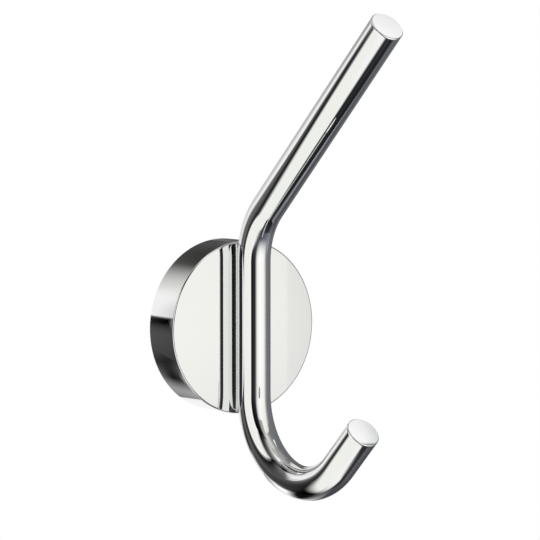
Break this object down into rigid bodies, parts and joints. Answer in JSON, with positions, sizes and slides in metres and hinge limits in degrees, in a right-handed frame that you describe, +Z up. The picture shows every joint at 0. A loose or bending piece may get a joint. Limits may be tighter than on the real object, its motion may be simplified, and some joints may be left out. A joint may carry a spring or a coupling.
{
  "type": "robe hook",
  "caption": "Wall-mounted robe hook: a bent round bar with a long upper arm and an upturned lower hook, on a thick round rosette.",
  "frame": {"origin": "centre of the rosette's back, in the plane of the wall", "axes": "+Y into the wall, square to it; +Z up along the wall; +X to the right as seen from the room; the bar's centreline lies in the plane X = 0"},
  "size_m": [0.052, 0.0828, 0.1418],
  "materials": {
    "chrome_plate": "bright mirror chrome plate on brass",
    "cast_zinc": "plain die-cast zinc, matt",
    "steel_screw": "plain stainless steel"
  },
  "bodies": {
    "root": {"hook_rod": "chrome_plate", "rosette": "chrome_plate", "wall_bracket": "cast_zinc", "rod_screw_upper": "steel_screw", "rod_screw_lower": "steel_screw", "set_screw": "steel_screw"}
  },
  "joints": []
}
